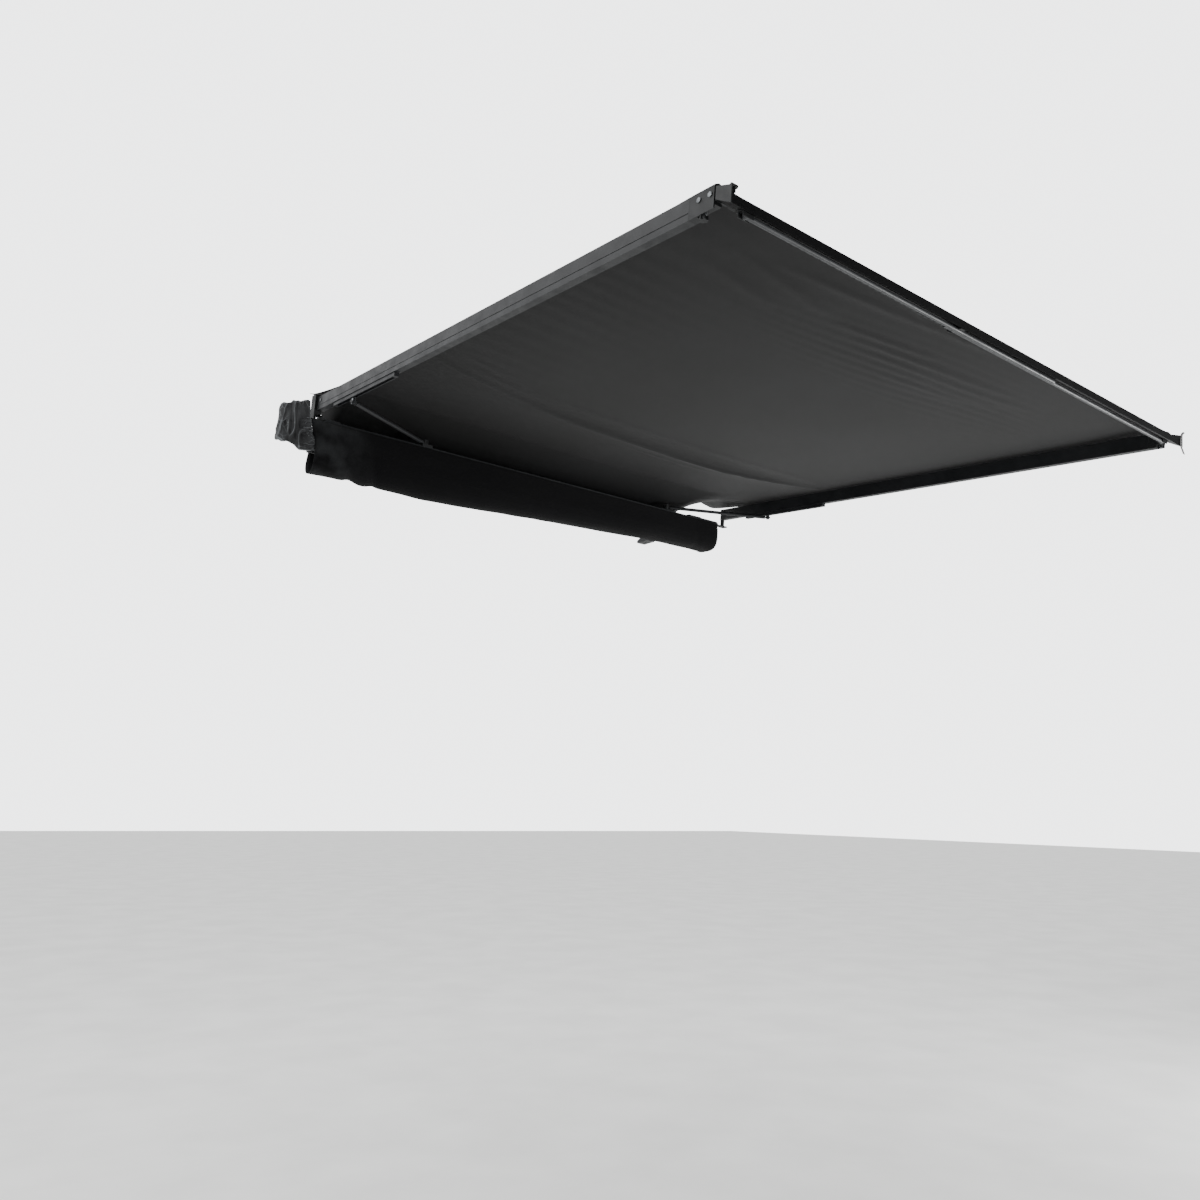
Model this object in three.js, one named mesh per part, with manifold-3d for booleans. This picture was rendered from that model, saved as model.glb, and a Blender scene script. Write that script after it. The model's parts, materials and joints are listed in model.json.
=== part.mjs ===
import * as THREE from "three";
import { mergeVertices } from "three/addons/utils/BufferGeometryUtils.js";
import Module from "manifold-3d";

const wasm = await Module();
wasm.setup();

// Driving dimensions in mm. Along runs from the rear arm's outer face to the front of the vehicle,
// out runs away from the mounting face, and up stands on the deck plane that the arms lie in
const span = 2000;
const railOut = 2032;
const tiltAngle = THREE.MathUtils.degToRad(5.135);
const fit = 0.3;
const slack = 0.5;
const laneGap = 4.2;
const overrun = 5;
const weld = 0.0001;
const roundSides = 28;
const boltSides = 16;

// Arms
const armWidth = 22;
const armHeight = 48;
const armDrop = 6;
const armWall = 3;
const armTop = armHeight - armDrop;
const earHeight = 11.7;
const earFloor = 15.7;
const earLow = 3;
const forkReachShare = 0.4;

// Lead rail section
const leadDepth = 43;
const leadInnerTop = 38;
const leadInnerLow = 10;
const leadOuterTop = 8;
const leadCapTop = 25;
const leadOuterLow = -12;
const leadWall = 2.5;
const capThick = 3;

// Mount rail section
const mountRear = 18;
const mountFront = 110;
const mountHeight = 75;
const mountWeb = 26;
const mountDepth = 150;
const shelfThick = 12;
const mountWall = 3;
const shelfDrop = 60;

// Where the arms and the lead rail turn, so that all three lie side by side when folded
const stackDepth = 2 * (armWidth + laneGap) + leadDepth;
const hingeOut = stackDepth + slack + slack - armWidth / 2;
const rearCornerOut = railOut - 2 * (armWidth + laneGap) + armWidth / 2;
const frontCornerOut = rearCornerOut + armWidth + laneGap;
const rearLine = armWidth / 2;
const frontLine = span - armWidth / 2;
const deckLift = mountHeight / 2 + shelfDrop;
const mountLength = span - mountRear - mountFront;
const deckStart = -mountRear - mountLength / 2;
const shelfTop = mountHeight / 2;

// Pins, bolts and knobs
const pinRadius = 4;
const boltRadius = 3;
const headGrow = 4;
const headThick = 4;
const nutTrim = 1;
const knobRadius = 13;
const knobLobes = 6;

// Stays
const rodRadius = 7;
const rodLevel = -30;
const stayRootOut = 372;
const stayTipOut = 132;
const stayReach = 390;
const stayInset = 5;
const eyeThick = 5;
const lugLevel = -18;

// Legs
const legRadius = 5.5;
const legWall = 1;
const legInner = 4.1;
const clipBack = 1.6;
const legLength = 1160;
const legInset = 60;
const lanePitch = 17;
const laneStart = 8.5;

// Thickness of the canopy's solid, and the gap under the lead rail
const soft = 2;
const railGap = 0.5;

const at = (along, out, up) => new THREE.Vector3(along, -out, up);
const lean = (low, high, share) => low + (high - low) * share;
const ease = (value, from, to) => THREE.MathUtils.smoothstep(value, from, to);

// The solid of a closed geometry
function solid(geometry) {
  const bare = geometry.index ? geometry.toNonIndexed() : geometry.clone();
  bare.deleteAttribute("normal");
  bare.deleteAttribute("uv");
  const merged = mergeVertices(bare, weld);
  return new wasm.Manifold(new wasm.Mesh({
    numProp: 3,
    vertProperties: merged.getAttribute("position").array,
    triVerts: new Uint32Array(merged.index.array),
  }));
}

// A block between two corners given as along, out and up
function block([a0, o0, u0], [a1, o1, u1]) {
  const box = new THREE.BoxGeometry(a1 - a0, o1 - o0, u1 - u0);
  box.translate((a0 + a1) / 2, -(o0 + o1) / 2, (u0 + u1) / 2);
  return solid(box);
}

// A bar between two points, round unless it has few sides, and tapered if it has two radii
function bar(from, to, radius, sides = roundSides, farRadius = radius) {
  const way = to.clone().sub(from);
  const cylinder = new THREE.CylinderGeometry(farRadius, radius, way.length(), sides);
  const upright = new THREE.Vector3(0, 1, 0);
  cylinder.applyQuaternion(new THREE.Quaternion().setFromUnitVectors(upright, way.normalize()));
  const middle = from.clone().add(to).multiplyScalar(1 / 2);
  cylinder.translate(middle.x, middle.y, middle.z);
  return solid(cylinder);
}

// An upright disc at a place along and out, between two heights
const disc = (along, out, radius, low, high, sides) =>
  bar(at(along, out, low), at(along, out, high), radius, sides);

// A profile of out and up points, run along the awning
function section(points, from, to) {
  const shape = new THREE.Shape(points.map(([out, up]) => new THREE.Vector2(out, up)));
  const run = new THREE.ExtrudeGeometry(shape, { depth: to - from, bevelEnabled: false });
  run.applyMatrix4(new THREE.Matrix4().set(0, 0, -1, to, -1, 0, 0, 0, 0, 1, 0, 0, 0, 0, 0, 1));
  return solid(run);
}

// The outline of a strip of one thickness along a line of out and up points
function strip(line, thick) {
  const sides = [1, -1].map((side) => line.map(([out, up], i) => {
    const before = line[Math.max(i - 1, 0)];
    const after = line[Math.min(i + 1, line.length - 1)];
    const run = Math.hypot(after[0] - before[0], after[1] - before[1]);
    const push = (side * thick) / 2 / run;
    return [out - (after[1] - before[1]) * push, up + (after[0] - before[0]) * push];
  }));
  return [...sides[0], ...sides[1].reverse()];
}

// A closed skin between two grids of points, of which point(i, j, side) gives each
function skin(rows, columns, point) {
  const places = [];
  const faces = [];
  const id = (i, j, side) => (side * (rows + 1) + i) * (columns + 1) + j;
  for (const side of [0, 1])
    for (let i = 0; i <= rows; i++)
      for (let j = 0; j <= columns; j++) places.push(...point(i, j, side).toArray());
  const quad = (a, b, c, d) => faces.push(a, b, c, a, c, d);
  for (let i = 0; i < rows; i++)
    for (let j = 0; j < columns; j++) {
      quad(id(i, j, 0), id(i, j + 1, 0), id(i + 1, j + 1, 0), id(i + 1, j, 0));
      quad(id(i, j, 1), id(i + 1, j, 1), id(i + 1, j + 1, 1), id(i, j + 1, 1));
    }
  for (let i = 0; i < rows; i++) {
    quad(id(i, 0, 0), id(i + 1, 0, 0), id(i + 1, 0, 1), id(i, 0, 1));
    quad(id(i + 1, columns, 0), id(i, columns, 0), id(i, columns, 1), id(i + 1, columns, 1));
  }
  for (let j = 0; j < columns; j++) {
    quad(id(0, j + 1, 0), id(0, j, 0), id(0, j, 1), id(0, j + 1, 1));
    quad(id(rows, j, 0), id(rows, j + 1, 0), id(rows, j + 1, 1), id(rows, j, 1));
  }
  const geometry = new THREE.BufferGeometry();
  geometry.setAttribute("position", new THREE.Float32BufferAttribute(places, 3));
  geometry.setIndex(faces);
  return solid(geometry);
}

const join = (...pieces) => pieces.reduce((all, piece) => all.add(piece));

// The awning, with the mount rail level and the deck group leaning outwards
const awning = new THREE.Group();
const deck = new THREE.Group();
deck.position.set(deckStart, 0, deckLift);
deck.rotation.x = tiltAngle;
awning.add(deck);
deck.updateMatrix();

// A solid of the level mount, seen from the leaning deck
const levelToDeck = deck.matrix.clone().invert();
const inDeck = (level) => level.transform(levelToDeck.toArray());

const finish = (color, roughness, metalness) =>
  new THREE.MeshStandardMaterial({ color, roughness, metalness });
const blackPowder = () => finish(0x2a2b2d, 0.55, 0.3);
const blackCast = () => finish(0x232426, 0.6, 0.2);
const blackPlastic = () => finish(0x1b1c1e, 0.5, 0);
const steel = () => finish(0xb4b6b8, 0.35, 0.9);
const cloth = () => finish(0x1e1f21, 0.85, 0);

function piece(group, name, made, material) {
  const bare = made.getMesh();
  const geometry = new THREE.BufferGeometry();
  geometry.setAttribute("position", new THREE.BufferAttribute(bare.vertProperties, bare.numProp));
  geometry.setIndex(new THREE.BufferAttribute(bare.triVerts, 1));
  const flat = geometry.toNonIndexed();
  flat.computeVertexNormals();
  const mesh = new THREE.Mesh(flat, material);
  mesh.name = name;
  group.add(mesh);
  return made;
}

// Mount rail: a hollow web with two bolt slots in its back and a hollow shelf that carries the hinges
const slotMouth = 7;
const slotPocket = 12;
const slotDeep = 5;
const slotRise = 24;
const bagGroove = 3;
const mountSection = [
  [0, -mountHeight / 2], [mountWeb, -mountHeight / 2], [mountWeb, shelfTop - shelfThick],
  [mountDepth, shelfTop - shelfThick], [mountDepth, shelfTop], [0, shelfTop],
];
const slotBack = mountWall + slotDeep + mountWall;

function mountRail() {
  const ends = [-mountLength / 2, mountLength / 2];
  const through = [ends[0] - overrun, ends[1] + overrun];
  const cut = (out, up, farOut, farUp) => block([through[0], out, up], [through[1], farOut, farUp]);
  let made = section(mountSection, ...ends);
  for (const rise of [-slotRise, slotRise]) {
    made = made.subtract(cut(-overrun, rise - slotMouth / 2, mountWall + overrun / 2, rise + slotMouth / 2));
    made = made.subtract(cut(mountWall, rise - slotPocket / 2, mountWall + slotDeep, rise + slotPocket / 2));
  }
  const inside = mountWeb - mountWall;
  made = made.subtract(cut(slotBack, mountWall - mountHeight / 2, inside, shelfTop - shelfThick - mountWall));
  const shelfLow = shelfTop - shelfThick + mountWall;
  const middle = (slotBack + mountDepth) / 2;
  made = made.subtract(cut(slotBack, shelfLow, middle - mountWall / 2, shelfTop - mountWall));
  return made.subtract(cut(middle + mountWall / 2, shelfLow, mountDepth - mountWall, shelfTop - mountWall));
}
piece(awning, "mount_rail", mountRail(), blackPowder());

for (const [name, side] of [["rear", -1], ["front", 1]]) {
  const near = side * (mountLength / 2 + fit);
  const far = side * (mountLength / 2 + fit + capThick);
  const plate = section(mountSection, Math.min(near, far), Math.max(near, far));
  piece(awning, `mount_end_cap_${name}`, plate, blackPlastic());
}

// Keder strip that holds the canopy's inner edge along the top of the rail, clear of both hinges
const kederDeep = 14;
const kederHigh = 5;
const kederRear = 150;
const kederFront = 300;
const kederBead = 3;
function kederStrip() {
  const low = shelfTop + fit;
  const from = deckStart + kederRear;
  const to = deckStart + span - kederFront;
  const body = block([from, soft, low], [to, soft + kederDeep, low + kederHigh]);
  const bead = bar(at(from, soft + kederDeep / 2, low + kederHigh),
    at(to, soft + kederDeep / 2, low + kederHigh), kederBead, boltSides);
  return body.add(bead);
}
piece(awning, "canopy_keder_strip", kederStrip(), blackPowder());

// Feet that stand the rail on a roof bar, each bolted into both slots
const footPlaceShares = { rear: -0.406, front: 0.357 };
const footWide = 44;
const footThick = 5;
const footDeep = 70;
const footDrop = 66;
const gussetThick = 4;
const nutSide = 10;
function foot(along) {
  const low = -footDrop;
  const top = slotRise + nutSide;
  const from = along - footWide / 2;
  const to = along + footWide / 2;
  let made = join(
    block([from, -fit - footThick, low], [to, -fit, top]),
    block([from, -fit - footDeep, low], [to, -fit, low + footThick]),
  );
  for (const edge of [from, to - gussetThick]) {
    const web = new THREE.Shape([
      new THREE.Vector2(fit, low), new THREE.Vector2(fit + footDeep, low),
      new THREE.Vector2(fit + footDeep, low + 2 * footThick), new THREE.Vector2(fit + footThick, -slotRise),
      new THREE.Vector2(fit, -slotRise),
    ]);
    const run = new THREE.ExtrudeGeometry(web, { depth: gussetThick, bevelEnabled: false });
    run.applyMatrix4(new THREE.Matrix4().set(0, 0, 1, edge, 1, 0, 0, 0, 0, 1, 0, 0, 0, 0, 0, 1));
    made = made.add(solid(run));
  }
  for (const rise of [-slotRise, slotRise])
    made = made.subtract(bar(at(along, -fit - footThick - overrun, rise), at(along, overrun, rise), boltRadius + fit));
  const roofHole = -fit - footThick - (footDeep - footThick) / 2;
  return made.subtract(bar(at(along, roofHole, low - overrun), at(along, roofHole, low + footThick + overrun),
    boltRadius + slack));
}

// A bolt with a hexagon head, from under the head to the end of its shank
function bolt(from, to, radius = boltRadius, head = headThick) {
  const back = from.clone().sub(to).setLength(head);
  return join(bar(from, to, radius, boltSides), bar(from, from.clone().add(back), radius + headGrow - nutTrim, 6));
}

for (const [name, share] of Object.entries(footPlaceShares)) {
  const along = share * mountLength;
  piece(awning, `foot_bracket_${name}`, foot(along), blackPowder());
  for (const [place, rise] of [["low", -slotRise], ["high", slotRise]]) {
    const head = at(along, -2 * fit - footThick, rise);
    const end = at(along, mountWall + slotDeep - fit, rise);
    const nut = block([along - nutSide, mountWall + fit, rise - slotPocket / 2 + slack],
      [along + nutSide, mountWall + slotDeep - fit, rise + slotPocket / 2 - slack]);
    piece(awning, `foot_bolt_${name}_${place}`, join(bolt(head, end), nut), steel());
  }
}

// Rear hinge: a base on the shelf, a slotted column, two ears and a web on the side the arm never sweeps
const baseThick = 5;
const lowEarHigh = 11.4;
const topEarHigh = 7.4;
const webThick = 9;
const webGap = 1;
const hingeEdge = armWidth / 2 + webGap;
const hingeReach = 22;
const boltInset = 12;
const levelBase = shelfTop + fit;

const hingeBoltOut = (hingeOut + hingeReach + mountDepth) / 2;
const hingeBolts = [armWidth + boltInset, armWidth + 3 * boltInset];

// Holes for the bolts that hold a base plate to the shelf
const baseHoles = (places) => inDeck(join(...places.map((along) => bar(
  at(deckStart + along, hingeBoltOut, levelBase - overrun), at(deckStart + along, hingeBoltOut, levelBase + 2 * overrun),
  boltRadius + fit, boltSides))));

function rearHinge() {
  const outer = hingeOut + hingeReach;
  const inner = hingeOut - hingeEdge;
  const lowTop = -armDrop - fit;
  const topLow = armTop + fit;
  const left = -webGap - webThick;
  const right = armWidth + fit;
  const base = inDeck(block([deckStart + left, inner - hingeEdge, levelBase],
    [deckStart + right + 4 * boltInset, mountDepth - soft, levelBase + baseThick]));
  const column = block([left, inner, -shelfDrop], [right, outer, lowTop - lowEarHigh])
    .subtract(block([left + webThick, inner - overrun, -shelfDrop - overrun],
      [right - armWall, outer + overrun, lowTop - lowEarHigh]));
  const belowBase = inDeck(block([deckStart + left - armWidth, 0, -mountDepth],
    [deckStart + right + armWidth, mountDepth + armWidth, levelBase + baseThick / 2]));
  const ears = [[lowTop - lowEarHigh, lowTop], [topLow, topLow + topEarHigh]].map(([low, high]) => join(
    block([left, inner, low], [rearLine, outer, high]),
    block([rearLine, inner, low], [right - slack, hingeOut, high]),
    disc(rearLine, hingeOut, hingeEdge, low, high),
  ));
  const web = block([left, inner, lowTop - lowEarHigh], [-webGap, outer, topLow + topEarHigh]);
  return join(base.subtract(baseHoles(hingeBolts)), column.subtract(belowBase), ...ears, web)
    .subtract(disc(rearLine, hingeOut, pinRadius + fit, lowTop - lowEarHigh - overrun, topLow + topEarHigh + overrun));
}
piece(deck, "rear_hinge_bracket", rearHinge(), blackCast());

const hingeTop = armTop + fit + topEarHigh;
const hingeLow = -armDrop - fit - lowEarHigh;
function hingePin() {
  const head = disc(rearLine, hingeOut, pinRadius + headGrow, hingeTop + fit, hingeTop + fit + headThick + soft, 6);
  const nut = disc(rearLine, hingeOut, pinRadius + headGrow - nutTrim, hingeLow - fit - headThick,
    hingeLow - fit, 6);
  return join(disc(rearLine, hingeOut, pinRadius, hingeLow - headThick - soft, hingeTop + headThick), head, nut);
}
piece(deck, "rear_hinge_pin", hingePin(), steel());

// A bolt down through a base plate into the shelf, built level
const baseBolt = (along, out) => {
  const top = levelBase + baseThick + fit;
  return bolt(at(along, out, top), at(along, out, shelfTop + fit), boltRadius, headThick / 2 + nutTrim);
};

// Front latch: a plate on the shelf with an upright stop block, and a slim seat past the rail's end
// that the front arm's foot stands on
const latchLong = 278;
const latchFrom = span - latchLong;
const latchBlock = 72;
const latchInner = 78;
const seatLevel = -37.3;
const stopOut = 112;
const railEnd = span - mountFront;
const latchBolts = [latchFrom + latchBlock + boltInset, railEnd - 2 * boltInset];
function frontLatch() {
  const outer = hingeOut + hingeReach;
  const base = inDeck(block([deckStart + latchFrom, latchInner, levelBase],
    [deckStart + railEnd, mountDepth - soft, levelBase + baseThick]));
  const under = inDeck(block([deckStart + latchFrom - overrun, 0, -mountDepth],
    [deckStart + railEnd, mountDepth + armWidth, levelBase + baseThick / 2]));
  const seat = block([railEnd - latchBlock, latchInner + soft, -shelfDrop], [span, outer, seatLevel])
    .subtract(block([railEnd, 0, -shelfDrop - overrun], [span + overrun, outer + overrun, seatLevel - baseThick]));
  const stop = block([latchFrom, stopOut, -shelfDrop], [latchFrom + latchBlock, mountDepth - 2 * soft, seatLevel])
    .subtract(block([latchFrom + armWall, stopOut - overrun, -shelfDrop],
      [latchFrom + latchBlock - armWall, mountDepth - 2 * soft - armWall, seatLevel - armWall]));
  return join(base.subtract(baseHoles(latchBolts)), seat.subtract(under), stop.subtract(under));
}
piece(deck, "front_latch_bracket", frontLatch(), blackCast());

// Seat on the shelf under the tip of the front stay
const stayWide = 40;
const staySeatDeep = 30;
const stayLow = rodLevel - rodRadius;
function staySeat() {
  const along = span - rearLine - stayReach - stayInset;
  const base = inDeck(block([deckStart + along - stayWide, stayTipOut - staySeatDeep / 2, levelBase],
    [deckStart + along + stayWide, stayTipOut + staySeatDeep / 2, levelBase + baseThick / 2]));
  const under = inDeck(block([deckStart + along - 2 * stayWide, 0, -mountDepth],
    [deckStart + along + 2 * stayWide, mountDepth + armWidth, levelBase + baseThick / 4]));
  const boss = bar(at(along, stayTipOut, -shelfDrop), at(along, stayTipOut, stayLow - fit), knobRadius, roundSides,
    knobRadius - soft);
  return join(base, boss.subtract(under));
}
piece(deck, "front_stay_seat", staySeat(), blackCast());

// Bolts that hold the hinge, the latch and the stay seat to the shelf
for (const [name, places] of [["hinge_bolt", hingeBolts], ["latch_bolt", latchBolts]])
  for (const [i, along] of places.entries())
    piece(deck, `${name}_${i + 1}`, inDeck(baseBolt(deckStart + along, hingeBoltOut)), steel());

// Arms: hollow tubes with a shadow groove, a solid root and a forked tip, each plugged into the tube
const grooveDeep = 1.2;
const grooveHigh = 3;
const grooveRise = 8;
const rootLength = 26;
const plugLength = 40;
const tipLength = 34;

function armTube(line, from, to, outerSide) {
  const left = line - armWidth / 2;
  const right = line + armWidth / 2;
  const tube = block([left, from, -armDrop], [right, to, armTop])
    .subtract(block([left + armWall, from - overrun, armWall - armDrop],
      [right - armWall, to + overrun, armTop - armWall]));
  const face = outerSide < 0 ? left : right;
  return tube.subtract(block([face - grooveDeep, from - overrun, grooveRise],
    [face + grooveDeep, to + overrun, grooveRise + grooveHigh]));
}

// The part of an end fitting that goes inside the tube
const plug = (line, from, to) => block(
  [line - armWidth / 2 + armWall + fit, from, armWall + fit - armDrop],
  [line + armWidth / 2 - armWall - fit, to, armTop - armWall - fit],
);

// A forked tip around a pivot, open towards the side that folds and closed by a web on the other
function fork(line, out, from, to, webSide, tipRound) {
  const left = line - armWidth / 2;
  const right = line + armWidth / 2;
  const edge = tipRound ? out : to;
  const slotFrom = webSide < 0 ? left + armWall : left - overrun;
  const slotTo = webSide < 0 ? right + overrun : right - armWall;
  let made = block([left, from, -armDrop], [right, edge, armTop]);
  if (tipRound) made = made.add(disc(line, out, armWidth / 2, -armDrop, armTop));
  return made.add(plug(line, from - plugLength, from))
    .subtract(block([slotFrom, out - armWidth * forkReachShare, earFloor - armDrop],
      [slotTo, to + overrun, armTop - earHeight]))
    .subtract(block([slotFrom, out - armWidth / 2, -armDrop - overrun], [slotTo, to + overrun, earLow]))
    .subtract(disc(line, out, pinRadius + fit, -armDrop - overrun, armTop + overrun));
}

const rearTubeTo = rearCornerOut - tipLength;
const frontTubeTo = frontCornerOut - tipLength;
const rootFrom = hingeOut + rootLength;
const tipGap = 4;
const rearTipEnd = railOut - tipGap;
piece(deck, "rear_arm", armTube(rearLine, rootFrom + fit, rearTubeTo - fit, -1), blackPowder());
piece(deck, "rear_arm_root", join(
  disc(rearLine, hingeOut, armWidth / 2, -armDrop, armTop),
  block([0, hingeOut, -armDrop], [armWidth, rootFrom, armTop]),
  plug(rearLine, rootFrom, rootFrom + plugLength),
).subtract(disc(rearLine, hingeOut, pinRadius + fit, -armDrop - overrun, armTop + overrun)), blackCast());
piece(deck, "rear_arm_tip", fork(rearLine, rearCornerOut, rearTubeTo, rearTipEnd, -1, false), blackCast());

// The front arm's inner end stands on the latch by a foot under its plug
piece(deck, "front_arm", armTube(frontLine, rootFrom + fit, frontTubeTo - fit, 1), blackPowder());
piece(deck, "front_arm_root", join(
  block([span - armWidth, hingeOut, -armDrop], [span, rootFrom, armTop]),
  disc(frontLine, hingeOut, armWidth / 2, -armDrop, armTop),
  bar(at(frontLine, hingeOut, seatLevel + fit), at(frontLine, hingeOut, -armDrop), armWidth / 2 - soft, roundSides,
    armWidth / 2 - soft),
  plug(frontLine, rootFrom, rootFrom + plugLength),
), blackCast());
piece(deck, "front_arm_tip", fork(frontLine, frontCornerOut, frontTubeTo, frontCornerOut + armWidth / 2, 1, true),
  blackCast());

// Bolts through the arm's outer face into each end fitting
const armBoltRise = 26;
const armBoltPitch = 22;
const tipBoltPitch = 31;
function armBolts(line, side, tipOuts) {
  const face = line + side * (armWidth / 2 + fit);
  const outs = [rootFrom + plugLength / 2, ...tipOuts];
  return outs.map((out) => bolt(at(face, out, armBoltRise), at(face - side * fit / 2, out, armBoltRise),
    boltRadius, headThick / 2));
}
const rearTipBolt = rearTipEnd - armWidth / 2;
for (const [name, line, side, tipOuts] of [
  ["rear", rearLine, -1, [rearTipBolt - tipBoltPitch, rearTipBolt]],
  ["front", frontLine, 1, [frontTubeTo - plugLength / 2, frontTubeTo + armBoltPitch / 2]],
]) armBolts(line, side, tipOuts).forEach((made, i) => piece(deck, `${name}_arm_bolt_${i + 1}`, made, steel()));

// Doubler bars under the arms that carry the stays
const doublerFrom = 240;
const doublerTo = 680;
const doublerWide = 16;
for (const [name, line] of [["rear", rearLine], ["front", frontLine]]) {
  const top = -armDrop - fit;
  const body = block([line - doublerWide / 2, doublerFrom, lugLevel], [line + doublerWide / 2, doublerTo, top]);
  const relief = block([line - doublerWide / 2 + armWall, doublerFrom + doublerWide, lugLevel - overrun],
    [line + doublerWide / 2 - armWall, stayRootOut - doublerWide, top - armWall]);
  const farRelief = block([line - doublerWide / 2 + armWall, stayRootOut + doublerWide, lugLevel - overrun],
    [line + doublerWide / 2 - armWall, doublerTo - doublerWide, top - armWall]);
  piece(deck, `${name}_stay_bar`, body.subtract(relief).subtract(farRelief), blackPowder());
}

// Corner pins: a bolt through the fork and the lead rail's tongue
function cornerPin(line, out, low) {
  return join(
    disc(line, out, pinRadius, low, armTop + fit + headThick),
    disc(line, out, pinRadius + headGrow, armTop + fit, armTop + fit + headThick, 6),
    disc(line, out, pinRadius + headGrow - nutTrim, earLow - fit - headThick, earLow - fit, 6),
  );
}
const knobHigh = 13.5;
const lockRadius = 10;
const lockHigh = 8;
const lockTop = -armDrop - 2 * fit;
const lockSkin = 2;
piece(deck, "rear_corner_pin", cornerPin(rearLine, rearCornerOut, lockTop - lockHigh + lockSkin + fit), steel());
piece(deck, "front_corner_pin", cornerPin(frontLine, frontCornerOut, -armDrop), steel());

// A hand knob with lobes around its rim and a blind bore, from its low face to its top
function knob(along, out, radius, low, high, boreFrom, boreTo) {
  const ring = (radius * knobLobes) / (knobLobes + 2);
  let made = disc(along, out, ring, low, high);
  for (let i = 0; i < knobLobes; i++) {
    const turn = (i / knobLobes) * 2 * Math.PI;
    const lobe = radius - ring;
    made = made.add(disc(along + ring * Math.cos(turn), out + ring * Math.sin(turn), lobe, low, high, boltSides));
  }
  return made.subtract(disc(along, out, pinRadius + fit, boreFrom, boreTo));
}
piece(deck, "corner_lock_knob", knob(rearLine, rearCornerOut, lockRadius, lockTop - lockHigh, lockTop,
  lockTop - lockHigh + lockSkin, lockTop + overrun), blackPlastic());

// Stays: a rod with a raised eye on the arm and a low eye on the shelf, a pin, and a knob on the tip
function stay(rootAlong, tipAlong) {
  const root = at(rootAlong, stayRootOut, rodLevel);
  const tip = at(tipAlong, stayTipOut, rodLevel);
  const way = tip.clone().sub(root).normalize();
  const start = root.clone().addScaledVector(way, knobRadius);
  const end = tip.clone().addScaledVector(way, -knobRadius - headGrow);
  const rootLow = stayLow + eyeThick;
  return {
    rod: join(
      bar(start, end, rodRadius),
      disc(rootAlong, stayRootOut, knobRadius - soft, rootLow, rootLow + eyeThick),
      bar(root.clone().addScaledVector(way, pinRadius + headGrow + nutTrim).setZ(rootLow + eyeThick / 2),
        start.clone().addScaledVector(way, soft).setZ(rootLow + eyeThick / 2), eyeThick / 2, roundSides, rodRadius),
      disc(tipAlong, stayTipOut, knobRadius - soft, stayLow, stayLow + eyeThick),
      bar(tip.clone().addScaledVector(way, -pinRadius - soft).setZ(stayLow + eyeThick / 2),
        end.clone().addScaledVector(way, -soft).setZ(stayLow + eyeThick / 2), eyeThick / 2, boltSides),
    ).subtract(disc(rootAlong, stayRootOut, pinRadius + fit, stayLow - overrun, 0))
      .subtract(disc(tipAlong, stayTipOut, boltRadius + fit, stayLow - overrun, 0)),
    pin: join(
      disc(rootAlong, stayRootOut, pinRadius, stayLow + fit, lugLevel - fit),
      disc(rootAlong, stayRootOut, pinRadius + headGrow, stayLow + fit, rootLow - fit, 6),
      disc(rootAlong, stayRootOut, pinRadius + headGrow, rootLow + eyeThick + fit, lugLevel - fit),
    ),
    knob: join(
      knob(tipAlong, stayTipOut, knobRadius, stayLow + eyeThick + fit, stayLow + eyeThick + fit + knobHigh, 0, overrun),
      disc(tipAlong, stayTipOut, boltRadius, stayLow + fit / 2, stayLow + eyeThick + 2 * fit, boltSides),
    ),
  };
}
const stayLine = rearLine + stayInset;
for (const [name, root, tip] of [
  ["rear", stayLine, stayLine + stayReach], ["front", span - stayLine, span - stayLine - stayReach],
]) {
  const made = stay(root, tip);
  piece(deck, `${name}_stay`, made.rod, blackPowder());
  piece(deck, `${name}_stay_pin`, made.pin, steel());
  piece(deck, `${name}_stay_knob`, made.knob, blackPlastic());
}

// Slider that runs along the shelf under the tip of the rear stay, with a lip over the shelf's edge
function slider() {
  const along = stayLine + stayReach;
  const outer = mountDepth + armWall + soft;
  const top = block([along - stayWide / 2, stayTipOut - staySeatDeep / 2, -shelfDrop],
    [along + stayWide / 2, outer, stayLow - fit]);
  const under = inDeck(block([deckStart + along - stayWide, 0, -mountDepth],
    [deckStart + along + stayWide, mountDepth + slack, levelBase]));
  const below = inDeck(block([deckStart + along - stayWide, 0, -mountDepth],
    [deckStart + along + stayWide, mountDepth + stayWide, shelfTop - shelfThick / 3]));
  const lip = inDeck(block([deckStart + along - stayWide / 2, mountDepth + slack, shelfTop - shelfThick / 3],
    [deckStart + along + stayWide / 2, mountDepth + armWall, shelfTop + baseThick]));
  return join(top.subtract(under).subtract(below), lip);
}
piece(deck, "rail_slider", slider(), blackCast());

// Lead rail: a hollow section whose outer face is tall and whose underside slopes up inwards
const roof = (across) => lean(leadInnerTop, leadOuterTop, across / leadDepth);
const underside = (across) => lean(leadInnerLow, leadOuterLow, across / leadDepth);
function leadSection(inset) {
  const fall = inset * Math.hypot(1, (leadInnerTop - leadOuterTop) / leadDepth);
  const climb = inset * Math.hypot(1, (leadInnerLow - leadOuterLow) / leadDepth);
  const far = leadDepth - inset;
  return [
    [railOut + inset, roof(inset) - fall], [railOut + far, roof(far) - fall],
    [railOut + far, underside(far) + climb], [railOut + inset, underside(inset) + climb],
  ];
}
const capSection = [
  [railOut, leadInnerTop], [railOut + leadDepth, leadCapTop],
  [railOut + leadDepth, leadOuterLow], [railOut, leadInnerLow],
];
const leadFrom = capThick + fit;
const leadTo = span - capThick - fit;
piece(deck, "lead_rail", section(leadSection(0), leadFrom, leadTo)
  .subtract(section(leadSection(leadWall), leadFrom - overrun, leadTo + overrun)), blackPowder());
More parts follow.
